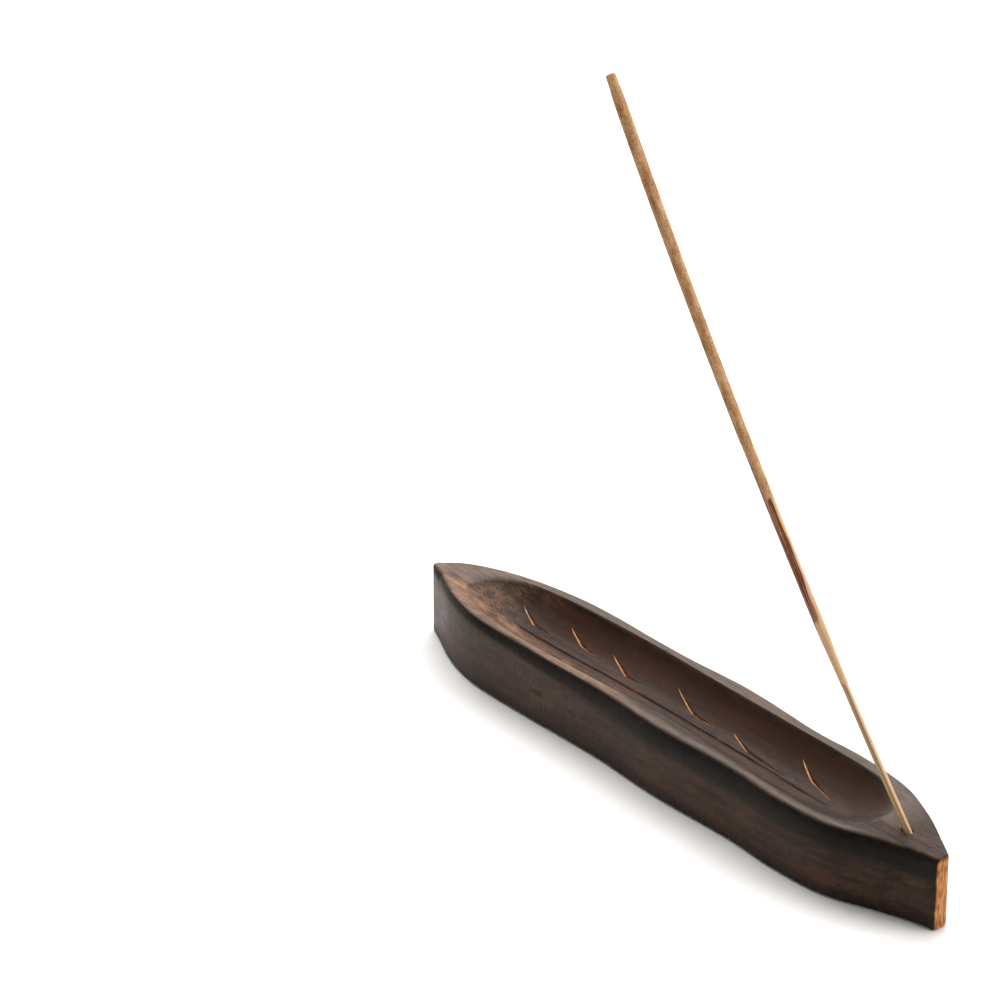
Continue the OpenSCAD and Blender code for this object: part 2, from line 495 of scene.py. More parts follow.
def rubbed_stain(n, streaks, fibres, clouds, mottle):
    """The stain's own colour, and the paler wood where it is rubbed through in patches."""
    tone = n.blend((streaks, 0.42), (clouds, 0.34), (mottle, 0.24))
    stain = n.colours(tone, [
        (0.33, "#1a110c"), (0.45, "#2f2019"), (0.53, "#3f2e25"), (0.61, "#4f3426"), (0.73, "#6b4028"),
    ])
    rubbed_tone = n.blend((mottle, 0.5), (fibres, 0.3), (streaks, 0.2))
    rubbed = n.colours(rubbed_tone, [
        (0.32, "#523a2b"), (0.46, "#785844"), (0.56, "#9a7459"), (0.72, "#bb9270"),
    ])
    patchy = n.swing(n.attribute("wear"), clouds, 0.6)
    patchy = n.swing(patchy, mottle, 0.3)
    patchy = n.swing(patchy, fibres, 0.4)
    return n.mix(n.span(patchy, 0.12, 1.0), stain, rubbed)


def stained_wood():
    """Dark stain over open-grained wood, rubbed through to the wood where hands wear it, with painted
    sheen and painted shade.
    """
    n = Nodes("stained_wood")
    streaks = n.noise((16, 300, 300), detail=5, rough=0.62, twist=0.5)
    fibres = n.noise((70, 1900, 1900), detail=4, rough=0.6)
    clouds = n.noise((30, 70, 70), detail=4, rough=0.6, twist=0.6)
    mottle = n.noise((150, 260, 260), detail=4, rough=0.65)
    pores = n.span(n.noise((260, 2600, 2600), detail=3, rough=0.6), 0.58, 0.70)
    saw_marks = n.span(n.noise((1300, 600, 190), detail=4, rough=0.7), 0.50, 0.70)

    colour = rubbed_stain(n, streaks, fibres, clouds, mottle)
    # Painted sheen: the land values lighten the wood to a grey that stands in for reflected light
    colour = n.mix(n.scaled(n.attribute("land"), 0.5), colour, srgb("#75675d"))
    colour = n.mix(n.span(fibres, 0.38, 0.62, 0.22, 0.0), colour, srgb("#120b08"))
    scuffed_side = n.scaled(n.attribute("side"), n.span(clouds, 0.40, 0.6))
    scuffed = n.scaled(saw_marks, scuffed_side)
    colour = n.mix(n.scaled(scuffed, 0.16), colour, srgb("#85776b"))
    # Painted shade: near-black under the near rim and along the near foot
    colour = n.mix(n.scaled(n.attribute("painted_shade"), 0.92), colour, srgb("#0b0604"))

    grain_end = n.colours(n.noise((300, 1100, 260), detail=4, rough=0.6, twist=0.2), [
        (0.32, "#7d4a26"), (0.46, "#a4683a"), (0.58, "#bd8350"), (0.76, "#d3a474"),
    ])
    bare_end = n.swing(n.attribute("tip"), mottle, 0.6)
    colour = n.mix(n.scaled(pores, 0.6), colour, srgb("#0c0604"))
    colour = n.mix(n.span(bare_end, 0.38, 0.75), colour, grain_end)
    # Painted shade: a warm dark brown on the dish's far wall
    colour = n.mix(n.scaled(n.attribute("far_wall_shade"), 0.65), colour, srgb("#331b0e"))
    colour = n.mix(n.attribute("crack"), colour, srgb("#080403"))

    relief = n.blend((streaks, 0.4), (fibres, 0.35), (mottle, 0.5), (pores, -0.5), (saw_marks, -0.25))
    gloss = n.blend((mottle, 0.5), (clouds, 0.5))
    # The far wall under the painted shade is also made rougher
    far_wall_roughening = n.scaled(n.attribute("far_wall_shade"), 0.25)
    roughness = n.math("ADD", n.span(gloss, 0.3, 0.7, 0.36, 0.56), far_wall_roughening)
    return n.finish(colour, roughness, n.bump(relief, 0.6, 0.00026), Specular_IOR_Level=0.1)


def cut_wood():
    """The fresh wood on the shallow side of each chip cut, darker towards the bottom."""
    n = Nodes("cut_wood")
    fibres = n.noise((160, 1500, 1500), detail=4, rough=0.6)
    fresh = n.colours(fibres, [(0.3, "#9a5b2b"), (0.5, "#c98f58"), (0.7, "#e3b888")])
    deep = n.colours(fibres, [(0.3, "#5a2f14"), (0.6, "#96602f")])
    chipped = n.span(n.noise((420, 420, 420), detail=4, rough=0.6), 0.5, 0.62, 0.0, 0.4)
    colour = n.mix(n.math("MAXIMUM", n.span(n.attribute("cut_depth"), 0.55, 1.0), chipped), fresh, deep)
    return n.finish(colour, 0.62, n.bump(fibres, 0.4, 0.0001), Specular_IOR_Level=0.3)


def shaded_cut_wood():
    """Painted shade: the steep side of each cut and the hole's walls, a dark copy of the cut wood."""
    n = Nodes("shaded_cut_wood")
    fibres = n.noise((110, 1500, 1500), detail=4, rough=0.6)
    colour = n.colours(fibres, [(0.3, "#1d0e07"), (0.5, "#3a1c0e"), (0.72, "#7a4222")])
    return n.finish(colour, 0.62, n.bump(fibres, 0.4, 0.0001), Specular_IOR_Level=0.3)


def groove_wood():
    """The near side of the midrib groove, brown and partly rubbed."""
    n = Nodes("groove_wood")
    fibres = n.noise((90, 1500, 1500), detail=4, rough=0.6)
    colour = n.colours(fibres, [(0.3, "#3a1f11"), (0.5, "#6b3e22"), (0.7, "#a3683c")])
    return n.finish(colour, 0.62, n.bump(fibres, 0.4, 0.0001), Specular_IOR_Level=0.3)


def bamboo():
    """Split bamboo: long pale fibres, darker at the split, with painted shade down one side."""
    n = Nodes("bamboo", "up_stick")
    fibres = n.noise((1500, 1500, 9), detail=4, rough=0.6)
    fine = n.noise((4200, 4200, 26), detail=3, rough=0.6)
    tone = n.blend((fibres, 0.65), (fine, 0.35))
    clean = n.colours(tone, [
        (0.34, "#8f6a45"), (0.46, "#b58f66"), (0.56, "#cdab82"), (0.70, "#dcc19c"),
    ])
    # Painted shade down the splint's side away from the light
    colour = n.mix(n.scaled(n.attribute("painted_shade_side"), 0.45), clean, srgb("#94755a"))
    colour = n.mix(n.scaled(n.attribute("split"), 0.9), colour, srgb("#7d4f24"))
    return n.finish(colour, 0.55, n.bump(fine, 0.4, 0.00008), Specular_IOR_Level=0.4)


def paste():
    """Dried incense, matte and mottled, and the bare streaky resin where it has flaked off."""
    n = Nodes("paste", "up_stick")
    patches = n.noise((420, 420, 150), detail=4, rough=0.62)
    grains = n.noise((1900, 1900, 1500), detail=4, rough=0.65)
    specks = n.span(n.voronoi((1100, 1100, 900)), 0.10, 0.30)
    tone = n.blend((patches, 0.5), (grains, 0.5))
    colour = n.colours(tone, [
        (0.34, "#7a5138"), (0.45, "#a0744c"), (0.54, "#bb9064"), (0.68, "#d0ae85"),
    ])
    dark_specks = n.math("SUBTRACT", 1.0, specks)
    colour = n.mix(n.scaled(dark_specks, 0.35), colour, srgb("#5e3d22"))
    colour = n.mix(n.scaled(n.attribute("smooth_film"), 0.7), colour, srgb("#d2b08a"))

    streaks = n.noise((1700, 1700, 14), detail=4, rough=0.6)
    threads = n.noise((4200, 4200, 90), detail=3, rough=0.6)
    sticky = n.blend((streaks, 0.6), (threads, 0.4))
    resin = n.colours(sticky, [
        (0.38, "#2a1209"), (0.46, "#5a2a18"), (0.52, "#8f5636"), (0.60, "#c99a78"),
    ])
    colour = n.mix(n.attribute("resin"), colour, resin)
    coarse = n.blend((grains, 0.8), (patches, 0.5))
    height = n.scaled(coarse, n.math("SUBTRACT", 1.0, n.scaled(n.attribute("resin"), 0.7)))
    roughness = n.span(n.attribute("resin"), 0, 1, 0.8, 0.3)
    return n.finish(colour, roughness, n.bump(height, 0.7, 0.0002), Specular_IOR_Level=0.35)


def studio_white():
    """The pale floor and wall."""
    n = Nodes("studio_white")
    tone = n.colours(n.noise((3, 3, 3), detail=2), [(0.3, "#f3f2f1"), (0.7, "#f8f7f6")])
    return n.finish(tone, 0.9, Specular_IOR_Level=0.1)


# ---------------------------------------------------------------- the carved block

# Places in the block's list of materials; the last is the cut wood's painted-shade copy
STAINED, FRESH, GROOVE, SHADED_CUT = range(4)

# How far the V-shaped cutters stand out of the wood
CUTTER_LIFT = 1.5
# A cut's half-width and depth at its ends, and how much it gains where it is fullest.
# The depth at the ends is above the wood, so that every cut fades out.
VEIN_HALF, VEIN_WIDENS, VEIN_DEEP, VEIN_DEEPENS = 0.10, 0.62, -0.12, 1.05
RIB_HALF, RIB_WIDENS, RIB_DEEP, RIB_DEEPENS = 0.12, 0.5, -0.1, 0.95
VEIN_SWELL, RIB_FADE_IN, RIB_FADE_OUT = 0.7, 26, 34
VEIN_WANDER, VEIN_WANDER_SCALE = 0.12, 0.35
RIB_WANDER, RIB_WANDER_SCALE = 0.15, 0.05
# The hole's rubbed mouth: where it starts below the top, its flare, and the cutter's overshoot
MOUTH_DROP, MOUTH_FLARE, HOLE_OVERSHOOT = 1.6, 1.6, 6.0
# A cut shallower than this is widened above the wood as if it were this deep
LEAST_DEPTH = 0.3


def trough(path, half_width, depth, side_index, lift=CUTTER_LIFT):
    """A V-shaped cutter along a path of (x, y) on the dish, its width and depth given per point.

    side_index gives the materials that its two sides leave: the near rim's side, then the other."""
    points = [Vector((x, y, float(surface(x, y)))) for x, y in path]
    normals = [surface_normal(x, y) for x, y in path]
    corners = []
    for k, (here, normal) in enumerate(zip(points, normals)):
        ahead = points[min(k + 1, len(points) - 1)] - points[max(k - 1, 0)]
        side = ahead.cross(normal).normalized()
        wide = half_width[k] * (1 + lift / max(depth[k], LEAST_DEPTH))
        top = here + normal * lift
        corners += [top + side * wide, here - normal * depth[k], top - side * wide]
    faces, index = [], []
    for k in range(len(points) - 1):
        a, b = 3 * k, 3 * k + 3
        faces += [(a, a + 1, b + 1, b), (a + 1, a + 2, b + 2, b + 1), (a + 2, a, b, b + 2)]
        index += [side_index[0], side_index[1], side_index[0]]
    end = 3 * (len(points) - 1)
    faces += [(2, 1, 0), (end, end + 1, end + 2)]
    return corners, faces, index + [side_index[1]] * 2


def vein_path(vein, steps=10):
    """Points down a vein through its elbow, with the half-width and depth of the cut at each."""
    tip, elbow, end = (np.array(p, float) for p in vein)
    upper = [tip + (elbow - tip) * k / steps for k in range(steps + 1)]
    lower = [elbow + (end - elbow) * k / steps for k in range(1, steps + 1)]
    path = np.array(upper + lower)
    travel = np.concatenate([np.linspace(0, 1, steps + 1), np.linspace(1, 0, steps + 1)[1:]])
    swell = travel ** VEIN_SWELL
    wander = lumps(np.c_[path, 0 * travel], VEIN_WANDER_SCALE, SEED_VEINS)
    path[:, 1] += VEIN_WANDER * wander * swell
    return path, VEIN_HALF + VEIN_WIDENS * swell, VEIN_DEEP + VEIN_DEEPENS * swell


def midrib_path(steps=90):
    """Points along the midrib groove, with its half-width and depth at each."""
    x = np.linspace(MIDRIB_START, MIDRIB_END, steps)
    path = np.stack([x, midrib_y(x)], 1)
    path[:, 1] += RIB_WANDER * lumps(np.c_[path, 0 * x], RIB_WANDER_SCALE, SEED_MIDRIB)
    fade = smooth(np.minimum((x - MIDRIB_START) / RIB_FADE_IN, (MIDRIB_END - x) / RIB_FADE_OUT))
    return path, RIB_HALF + RIB_WIDENS * fade, RIB_DEEP + RIB_DEEPENS * fade


def hole_frame():
    """The hole's axis: x leans uphill across it, z runs out of its mouth, and the origin is its bottom."""
    turn = Matrix.Rotation(-LEAN, 4, "Y")
    mouth = Matrix.Translation((HOLE_X, HOLE_Y, HEIGHT))
    return mouth @ turn @ Matrix.Translation((0, 0, -HOLE_DEPTH))


def hole_cutter(sides=48):
    """The drilled hole, its mouth rubbed a little wider."""
    to_block = hole_frame()
    points = []
    profile = [
        (0, HOLE_RADIUS),
        (HOLE_DEPTH - MOUTH_DROP, HOLE_RADIUS),
        (HOLE_DEPTH + HOLE_OVERSHOOT, HOLE_RADIUS + MOUTH_FLARE),
    ]
    for height, radius in profile:
        for k in range(sides):
            a = 2 * math.pi * k / sides
            points.append(to_block @ Vector((radius * math.cos(a), radius * math.sin(a), height)))
    faces = ring_faces(len(profile), sides)
    # The hole's walls take the painted-shade material
    return points, faces, [SHADED_CUT] * len(faces)


def cutters():
    """Every cut as points, faces and the material of each face it leaves."""
    # The side of each cut away from the near rim takes the painted-shade material
    pieces = [hole_cutter(), trough(*midrib_path(), (GROOVE, SHADED_CUT))]
    pieces += [trough(*vein_path(vein), (FRESH, SHADED_CUT)) for vein in VEINS]
    return pieces


def outward(thing):
    """Turns every face of a closed mesh to face out."""
    fix = bmesh.new()
    fix.from_mesh(thing.data)
    bmesh.ops.recalc_face_normals(fix, faces=fix.faces)
    fix.to_mesh(thing.data)
    fix.free()


def carve(block, pieces, materials):
    """Cuts every piece out of the block."""
    for points, faces, index in pieces:
        cutter = mesh_object("cutter", np.array([tuple(p) for p in points]), faces, materials, index)
        outward(cutter)
        cut = block.modifiers.new("cut", "BOOLEAN")
        cut.operation = "DIFFERENCE"
        cut.solver = "EXACT"
        cut.object = cutter
        cut.material_mode = "INDEX"
        bpy.context.view_layer.update()
        carved = block.evaluated_get(bpy.context.evaluated_depsgraph_get())
        shape = bpy.data.meshes.new_from_object(carved)
        block.modifiers.clear()
        block.data = shape
        bpy.data.objects.remove(cutter)


# How deep the hand-tool hollows on the sides are, and the ripple on the top, with their scales
HOLLOW, FINE_HOLLOW = 0.10, 0.03
HOLLOW_SCALE, FINE_HOLLOW_SCALE = (0.045, 0.02, 0.09), (0.3, 0.1, 0.2)
RIPPLE, FINE_RIPPLE, RIPPLE_DROP = 0.08, 0.05, 0.06
RIPPLE_SCALE, FINE_RIPPLE_SCALE = (0.05, 0.35, 0.0), (0.12, 0.9, 0.0)


def weather(points):
    """Hand-tool unevenness: shallow hollows on the sides and a faint ripple on top, never outward."""
    x, y, z = points.T
    far, near = flank(x, 1), flank(x, 2)
    middle, half = (far + near) / 2, np.maximum((far - near) / 2, 0.5)
    side = np.clip(np.abs(y - middle) / half, 0, 1) ** 6
    hollow = HOLLOW * (1 + lumps(points, HOLLOW_SCALE, SEED_HOLLOWS))
    hollow = hollow + FINE_HOLLOW * (1 + lumps(points, FINE_HOLLOW_SCALE, SEED_FINE_HOLLOWS))
    keep = ramp(HALF_LENGTH - np.abs(x), 0.5, 9)
    moved = points.copy()
    moved[:, 1] -= np.sign(y - middle) * hollow * side * keep
    ripple = RIPPLE * lumps(points, RIPPLE_SCALE, SEED_RIPPLE)
    ripple = ripple + FINE_RIPPLE * lumps(points, FINE_RIPPLE_SCALE, SEED_FINE_RIPPLE)
    moved[:, 2] += np.minimum(ripple - RIPPLE_DROP, 0) * keep * ramp(z, HEIGHT - 12, HEIGHT - 7)
    return moved


def patch(value, centre, reach):
    """1 at the centre, fading out over the reach on both sides."""
    return np.exp(-((value - centre) / reach) ** 2)


# The hairline crack: its height on the near side, its width, and how far it waves up and down
CRACK_HEIGHT, CRACK_WIDTH = 12.5, 0.22
CRACK_WAVE, CRACK_FINE_WAVE = 0.5, 0.25


def crack_line(x, y, z):
    """A hairline crack along the near side, towards the pointed tip."""
    height = CRACK_HEIGHT + CRACK_WAVE * np.sin(x / 4.0) + CRACK_FINE_WAVE * np.sin(x / 1.3)
    return patch(z, height, CRACK_WIDTH) * ramp(x, -58, -52) * ramp(-x, 32, 38) * (y < 0)


# The ramps and patches below are given in mm: along the block, across it, up it or down the dish.

# How far each place is rubbed through to the wood, from 0 to 1
TOP_WEAR, RIM_WEAR, RIM_MIDDLE_WEAR = 0.14, 0.12, 0.62
START_WEAR, START_WALL_WEAR, END_WALL_WEAR = 0.36, 0.2, 0.22
FLOOR_WEAR, SLOPE_WEAR = 0.42, 0.32
# The line along the near rim, rubbed wear and a painted highlight: how far in from the flank, its width,
# and what it gains midway
RIM_LINE_IN, RIM_LINE_WIDE, RIM_LINE_WIDENS = 3.4, 1.3, 0.8
# The strip rubbed along the dish's floor
STRIP_Y, STRIP_WIDE = -5.0, 3.4
# How far the painted shade band under the near rim reaches down at the pointed tip, and what it gains
BAND_DOWN, BAND_GAINS = 4, 6.5
# How dark the painted shade along the near foot is
FOOT_SHADE = 0.6


def rim_wear_and_highlight(x, y, z, near):
    """The line along the near rim, widest about the middle: wear that hands have rubbed, and a painted
    highlight.
    """
    wide = RIM_LINE_WIDE + RIM_LINE_WIDENS * patch(x, -20, 45)
    line = patch(y, near + RIM_LINE_IN, wide) * ramp(z, HEIGHT - 1.4, HEIGHT - 0.3)
    return line * ramp(-x, -106, -92)


def flat_top(z, depth):
    """1 on the flat round the dish."""
    return ramp(z, HEIGHT - 1.0, HEIGHT - 0.2) * ramp(-depth, -2.2, -0.2)


def worn(x, y, z, near):
    """How far the stain is rubbed away to the wood."""
    depth = scoop(x, y)
    line = rim_wear_and_highlight(x, y, z, near)
    start = ramp(-x, 68, 114) * ramp(z, HEIGHT - 10, HEIGHT - 2)
    strip = patch(y, STRIP_Y, STRIP_WIDE) * ramp(depth, 4, 7.5) * (0.3 + 0.7 * patch(x, -75, 40))
    near_slope = ramp(midrib_y(x) - y, 1, 5) * ramp(z, HEIGHT - 9, HEIGHT - 3) * (y > near + 2)
    wear = TOP_WEAR * flat_top(z, depth)
    wear = wear + line * (RIM_WEAR + RIM_MIDDLE_WEAR * patch(x, -38, 20))
    wear = wear + START_WEAR * start
    wear = wear + FLOOR_WEAR * strip
    wear = wear + END_WALL_WEAR * patch(x, 84, 14) * ramp(depth, 2, 6)
    wear = wear + SLOPE_WEAR * near_slope * ramp(-x, 10, 60)
    wear = wear + START_WALL_WEAR * ramp(-x, 66, 98) * ramp(depth, 0.5, 2)
    return np.clip(wear, 0, 1)


def painted_sheen(x, y, z, near):
    """Painted sheen: a greyer colour standing in for reflected light on the far rim, along the near rim,
    and down the near side by the pointed tip.
    """
    far_land = flat_top(z, scoop(x, y)) * (y > midrib_y(x)) * ramp(-x, -112, -92)
    tip_sheen = (0.3 * ramp(-x, -110, 60) + 0.4 * ramp(-x, 90, 122)) * (y < near + 1)
    return np.clip(far_land + rim_wear_and_highlight(x, y, z, near) + tip_sheen, 0, 1)


def painted_shade_bands(x, y, z, near):
    """Painted shade: the dark band under the near rim, deeper towards the blunt end, and the darker foot.
    """
    fade = BAND_DOWN + BAND_GAINS * ramp(x, -100, 20)
    edge_band = ramp(HEIGHT - z, 0.15, 0.9) * ramp(z - HEIGHT + fade, 0, 0.5 * fade)
    foot_band = FOOT_SHADE * ramp(-z, -7, 0) * (y < 0)
    return np.clip(edge_band * (y < near + 4) + foot_band, 0, 1)


def bare_tip(x, y, z, near):
    """The sawn end face, smudged with stain along its top and its near edge."""
    smudge = ramp(HEIGHT - z, 0.4, 2.8) * ramp(y - near, 0.1, 1.1)
    return ramp(x, HALF_LENGTH - 1.3, HALF_LENGTH - 0.2) * (0.45 + 0.55 * smudge)


def paint(block):
    """Where the stain is rubbed away, where end grain shows, how deep each cut is, and where sheen and
    shade are painted.
    """
    x, y, z = vertices_of(block).T
    near = flank(x, 2)
    depth = scoop(x, y)
    store(block, "wear", worn(x, y, z, near))
    # Painted sheen, in the land values
    store(block, "land", painted_sheen(x, y, z, near))
    # Painted shade under the near rim and along the near foot
    store(block, "painted_shade", painted_shade_bands(x, y, z, near))
    store(block, "side", ramp(-z, -21, -16) * (0.3 + 0.7 * ramp(-x, 0, 60)))
    store(block, "tip", bare_tip(x, y, z, near))
    # Painted shade on the dish's far wall
    store(block, "far_wall_shade", ramp(y - midrib_y(x), 1, 10) * ramp(depth, 0.8, 3) * ramp(x, -102, -72))
    store(block, "cut_depth", np.clip(surface(x, y) - z, 0, 1))
    store(block, "crack", crack_line(x, y, z))


# Edges that turn more than this are shaded crisp
SHARP_EDGE = math.radians(38)


def burner():
    """The carved block."""
    rings = block_rings()
    sections, around, _ = rings.shape
    points = weather(rings.reshape(-1, 3))
    faces = ring_faces(sections, around)
    materials = [stained_wood(), cut_wood(), groove_wood(), shaded_cut_wood()]
    block = mesh_object("carved_block", points, faces, materials)
    carve(block, cutters(), materials)
    block.data.shade_smooth()
    block.data.set_sharp_from_angle(angle=SHARP_EDGE)
    paint(block)
    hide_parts("burner_body")
    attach(block, "root")


burner()


# ---------------------------------------------------------------- the stick

# Edges on the stick that turn more than this are shaded crisp
STICK_SHARP_EDGE = math.radians(55)


def bow_point(length, out, angle):
    """A point beside the bowed splint: length up it, out from its middle, at an angle round it."""
    turn = length / BOW_RADIUS
    across, side = out * math.cos(angle), out * math.sin(angle)
    return (
        BOW_RADIUS * (1 - math.cos(turn)) + across * math.cos(turn),
        side,
        BOW_RADIUS * math.sin(turn) - across * math.sin(turn),
    )


def stick_mesh(name, lengths, angles, radius, material):
    """A closed tube up the splint: lengths and radius are arrays [ring, angle]."""
    to_block = hole_frame()
    points, places = [], []
    for i in range(len(lengths)):
        for j, angle in enumerate(angles):
            out = radius[i, j]
            points.append(tuple(to_block @ Vector(bow_point(lengths[i, j], out, angle))))
            places.append((out * math.cos(angle), out * math.sin(angle), lengths[i, j]))
    thing = mesh_object(name, np.array(points), ring_faces(len(lengths), len(angles)), [material])
    store_place(thing, "up_stick", places)
    outward(thing)
    thing.data.shade_smooth()
    thing.data.set_sharp_from_angle(angle=STICK_SHARP_EDGE)
    return thing


# Angles round the stick: the middle of the flaked side, and where the splint is split
FLAKED_SIDE = math.radians(277)
SPLIT_SIDE = math.radians(314)

SPLINT_RINGS, SPLINT_SIDES = 640, 48
# The splint's share of its full radius, how squarish it is, its fibres, and its split
SPLINT_FULL, SPLINT_SQUARE, SPLINT_FIBRE = 0.955, 0.035, 0.02
SPLIT_DEPTH, SPLIT_WIDTH = 0.18, 0.2
# How far the split wanders round the splint, and over what length, twice over
WANDER, WANDER_LENGTH, FINE_WANDER, FINE_WANDER_LENGTH = 0.10, 31, 0.05, 9.7
# The middle of the splint's side that gets painted shade
PAINTED_SHADE_ANGLE = SPLIT_SIDE - 0.85

PASTE_RINGS, PASTE_SIDES = 620, 72
# How far the ragged lower edge lies above where the solid's paste begins, and how far it wanders
EDGE_UP, EDGE_RAGGED, EDGE_FINE_RAGGED = 1.8, 1.5, 0.8
# How high the coat's bumps are
BUMPS, FINE_BUMPS = 0.06, 0.03
# The top narrows over this length by this share
TOP_TAPER, TAPER_SHARE = 16, 0.16
# The room left for the coat's bumps, the share of it at its lower edge, and the length it grows over
COAT_MARGIN, COAT_AT_EDGE, COAT_GROWS_OVER = 0.07, 0.1, 20
# The flaked side: half its angle, how much higher it reaches along one edge, and its ragged ends
FLAKE_HALF, FLAKE_RISE, FLAKE_TOP_RAGGED, FLAKE_LOW_RAGGED = 1.28, 20, 1.6, 4
# How far its edges wave in and out, and how much narrower it is low down, in radians
FLAKE_WAVE, FLAKE_FINE_WAVE, FLAKE_NARROWS = 0.10, 0.05, 0.25
# The edge along which it reaches higher, and the share of the coat that has flaked off
FLAKE_HIGH_EDGE, FLAKE_SHARE = FLAKED_SIDE - 0.6, 0.25
# The rounded top: its rings in degrees, its height as a share of PASTE_DOME. TUCK_IN is how far
# the coat's lowest ring lies inside the splint
DOME_STEPS, DOME_SQUASH, TUCK_IN = (18, 36, 54, 70, 83), 0.88, 0.12


def angle_from(angles, centre):
    """How far each angle is from the centre, whichever way is shorter."""
    return np.abs((angles - centre + math.pi) % (2 * math.pi) - math.pi)


def splint():
    """The bamboo splint: a little squarish, with a split that wanders up one side."""
    angles = np.linspace(0, 2 * math.pi, SPLINT_SIDES, endpoint=False)
    lengths = np.linspace(0, STICK_LENGTH, SPLINT_RINGS)
    up, around = np.meshgrid(lengths, angles, indexing="ij")
    spot = np.stack([np.cos(around) * 2, np.sin(around) * 2, up * 0.05], -1).reshape(-1, 3)
    fibre = lumps(spot, (1.6, 1.6, 1.0), SEED_FIBRE).reshape(up.shape)
    squarish = SPLINT_SQUARE * np.cos(4 * (around - SPLIT_SIDE - math.pi / 4))
    wander = WANDER * np.sin(up / WANDER_LENGTH) + FINE_WANDER * np.sin(up / FINE_WANDER_LENGTH)
    split = patch(angle_from(around, SPLIT_SIDE + wander), 0, SPLIT_WIDTH)
    radius = STICK_RADIUS * (SPLINT_FULL + squarish) + SPLINT_FIBRE * fibre - SPLIT_DEPTH * split
    thing = stick_mesh("bamboo_splint", up, angles, np.minimum(radius, STICK_RADIUS), bamboo())
    store(thing, "split", np.clip(split, 0, 1).ravel())
    # Painted shade down one side of the splint
    store(thing, "painted_shade_side", ramp(-angle_from(around, PAINTED_SHADE_ANGLE), -0.95, -0.7).ravel())
    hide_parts("bamboo_core")
    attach(thing, "stick")


def flaked_off(up, around):
    """1 where the paste has come away to the resin: one side only, with ragged ends."""
    ring = np.stack([np.cos(around), np.sin(around), 0 * around], -1).reshape(-1, 3)
    ragged = lumps(ring, (2.2, 2.2, 0), SEED_RAGGED).reshape(up.shape)
    rise = FLAKE_RISE * ramp(-angle_from(around, FLAKE_HIGH_EDGE), -1.2, -0.2)
    top = FLAKE_TOP + rise + FLAKE_TOP_RAGGED * ragged
    low = FLAKE_LOW + FLAKE_LOW_RAGGED * ragged
    half = FLAKE_HALF + FLAKE_WAVE * np.sin(up / 5.3) + FLAKE_FINE_WAVE * np.sin(up / 1.9)
    half = half - FLAKE_NARROWS * ramp(-up, -100, -88)
    ends = ramp(top - up, -0.5, 0.5) * ramp(up - low, -0.5, 0.5)
    return ramp(half - angle_from(around, FLAKED_SIDE), -0.07, 0.07) * ends


def coat_radius(up, around, edge, flaked):
    """The outside of the paste: it thickens quickly, then slowly, and narrows at the very top."""
    spot = np.stack([np.cos(around) * 1.6, np.sin(around) * 1.6, up], -1).reshape(-1, 3)
    bumps = BUMPS * lumps(spot, 0.35, SEED_BUMPS) + FINE_BUMPS * lumps(spot, 1.3, SEED_FINE_BUMPS)
    bumps = bumps.reshape(up.shape)
    grown = np.clip((up - PASTE_LOW) / (STICK_LENGTH - PASTE_LOW), 0, 1) ** PASTE_GROWTH
    body = PASTE_LOW_RADIUS + (PASTE_TOP_RADIUS - PASTE_LOW_RADIUS) * grown
    body = body * (1 - TAPER_SHARE * ramp(up, STICK_LENGTH - TOP_TAPER, STICK_LENGTH) ** 2)
    grow = ramp(up - edge, -0.3, COAT_GROWS_OVER)
    coat = (body - STICK_RADIUS - COAT_MARGIN) * (COAT_AT_EDGE + (1 - COAT_AT_EDGE) * grow)
    return STICK_RADIUS + (coat + bumps * grow) * (1 - FLAKE_SHARE * flaked)


def incense():
    """The coat of paste: ragged and thin at its lower edge, flaked off on one side, domed at the top."""
    angles = np.linspace(0, 2 * math.pi, PASTE_SIDES, endpoint=False)
    around = np.broadcast_to(angles, (PASTE_RINGS, PASTE_SIDES))
    ring = np.stack([np.cos(angles), np.sin(angles), 0 * angles], 1)
    ragged = EDGE_RAGGED * lumps(ring, 1.4, SEED_RAGGED)
    ragged = ragged + EDGE_FINE_RAGGED * lumps(ring, 4.0, SEED_FINE_RAGGED)
    edge = PASTE_LOW + EDGE_UP + ragged
    up = edge + (STICK_LENGTH - edge) * np.linspace(0, 1, PASTE_RINGS)[:, None]
    flaked = flaked_off(up, around)
    radius = coat_radius(up, around, edge, flaked)
    film = ramp(FLAKE_TOP + 6 - up, 0, 12)

    dome = np.radians(DOME_STEPS)[:, None]
    tucked = np.full((1, PASTE_SIDES), STICK_RADIUS - TUCK_IN)
    no_mark = np.zeros((len(DOME_STEPS), PASTE_SIDES))
    up = np.vstack([up[:1], up, up[-1] + PASTE_DOME * DOME_SQUASH * np.sin(dome)])
    radius = np.vstack([tucked, radius, radius[-1] - PASTE_DOME * (1 - np.cos(dome))])
    thing = stick_mesh("incense_coat", up, angles, radius, paste())
    store(thing, "resin", np.vstack([flaked[:1], flaked, no_mark]).ravel())
    store(thing, "smooth_film", np.vstack([film[:1], film, no_mark]).ravel())
    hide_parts("incense_paste")
    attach(thing, "stick")


splint()
incense()


# ---------------------------------------------------------------- studio

# The studio, in metres: how far the floor lies flat, the sweep's radius, and the wall's top
FLOOR_FLAT, SWEEP, WALL_TOP = 2.6, 0.8, 2.6
FLOOR_MIDDLE, SWEEP_STEPS, FLOOR_SIDES = 1.2, 12, 96
WORLD_STRENGTH = 0.08
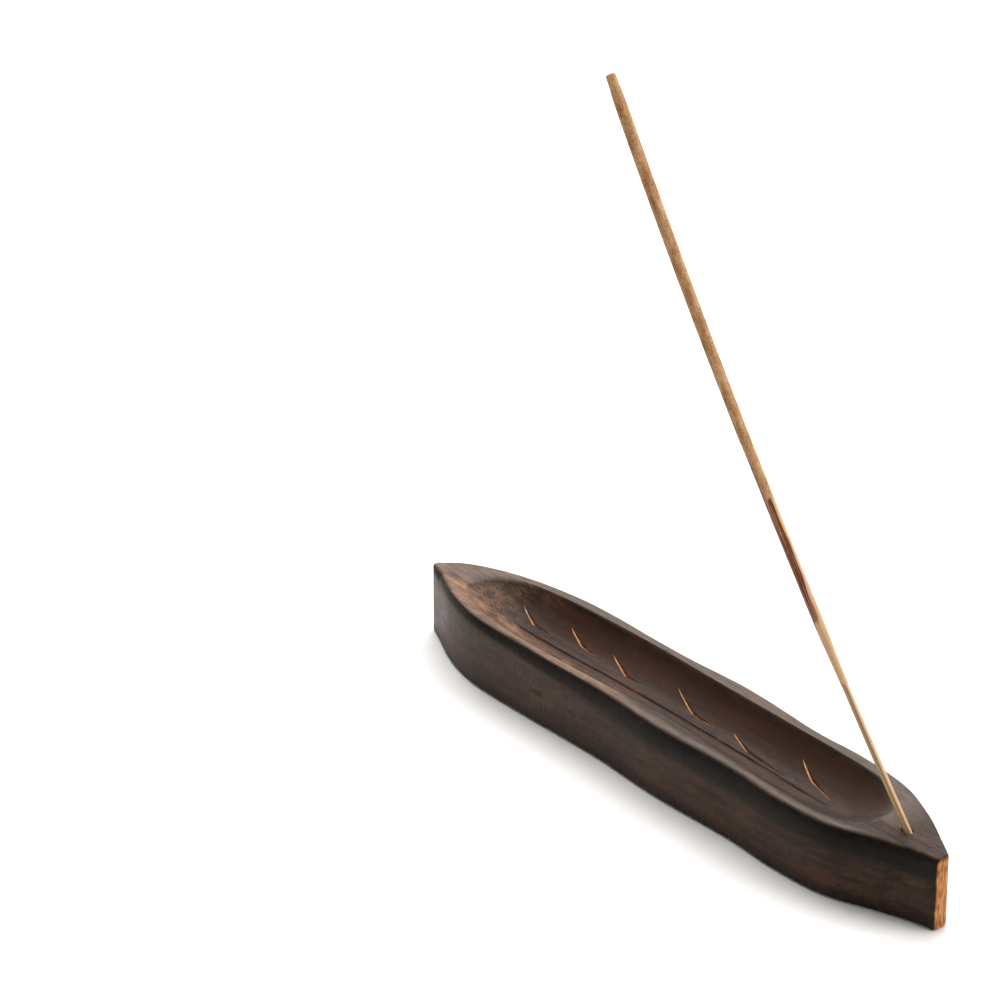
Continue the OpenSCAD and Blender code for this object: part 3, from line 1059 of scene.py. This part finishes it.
# Each light: its name, its place and size in metres, its power in watts, its colour and its aim
LIGHTS = [
    ("overhead", (-0.5, 0.4, 1.15), (1.8, 1.5), 36, (1.0, 0.99, 0.98), (-0.05, 0.05, 0)),
    ("key", (0.95, 0.75, 0.75), (0.8, 0.8), 11, (1.0, 0.97, 0.94), (0, 0, 0.03)),
    ("backdrop", (-0.9, 0.7, 1.9), (1.2, 1.2), 70, (1, 1, 1), (-3.2, 2.6, 0.7)),
]


def floor_profile():
    """Points (radius, height) from the floor's middle out and up the wall."""
    profile = [(0.0, 0.0), (FLOOR_MIDDLE, 0.0), (FLOOR_FLAT, 0.0)]
    for k in range(1, SWEEP_STEPS + 1):
        a = math.pi / 2 * k / SWEEP_STEPS
        profile.append((FLOOR_FLAT + SWEEP * math.sin(a), SWEEP * (1 - math.cos(a))))
    profile.append((FLOOR_FLAT + SWEEP, WALL_TOP))
    return profile


def backdrop():
    """A pale floor that sweeps up into a wall all round."""
    profile = floor_profile()
    sides = FLOOR_SIDES
    points, faces = [(0, 0, 0)], []
    for radius, z in profile[1:]:
        for k in range(sides):
            a = 2 * math.pi * k / sides
            points.append((radius * math.cos(a) / MM, radius * math.sin(a) / MM, z / MM))
    for k in range(sides):
        faces.append((0, 1 + k, 1 + (k + 1) % sides))
    for ring in range(len(profile) - 2):
        for k in range(sides):
            a, b = 1 + ring * sides + k, 1 + ring * sides + (k + 1) % sides
            faces.append((a, a + sides, b + sides, b))
    floor = mesh_object("studio_floor", points, faces, [studio_white()])
    floor.data.shade_smooth()


def area_light(name, place, size, power, colour, aim):
    """A soft rectangular light, turned to its aim."""
    data = bpy.data.lights.new(name, "AREA")
    data.shape = "RECTANGLE"
    data.size, data.size_y = size
    data.energy = power
    data.color = colour
    lamp = bpy.data.objects.new(name, data)
    lamp.location = place
    lamp.rotation_mode = "QUATERNION"
    lamp.rotation_quaternion = (Vector(aim) - Vector(place)).to_track_quat("-Z", "Y")
    bpy.context.scene.collection.objects.link(lamp)


def studio():
    """Soft light from above and behind, a key from the right, and a lit backdrop."""
    backdrop()
    for light in LIGHTS:
        area_light(*light)
    world = bpy.data.worlds.new("studio")
    bpy.context.scene.world = world
    world.use_nodes = True
    background = world.node_tree.nodes["Background"]
    background.inputs["Color"].default_value = (1, 1, 1, 1)
    background.inputs["Strength"].default_value = WORLD_STRENGTH
    bpy.context.scene.view_settings.view_transform = "Standard"


studio()
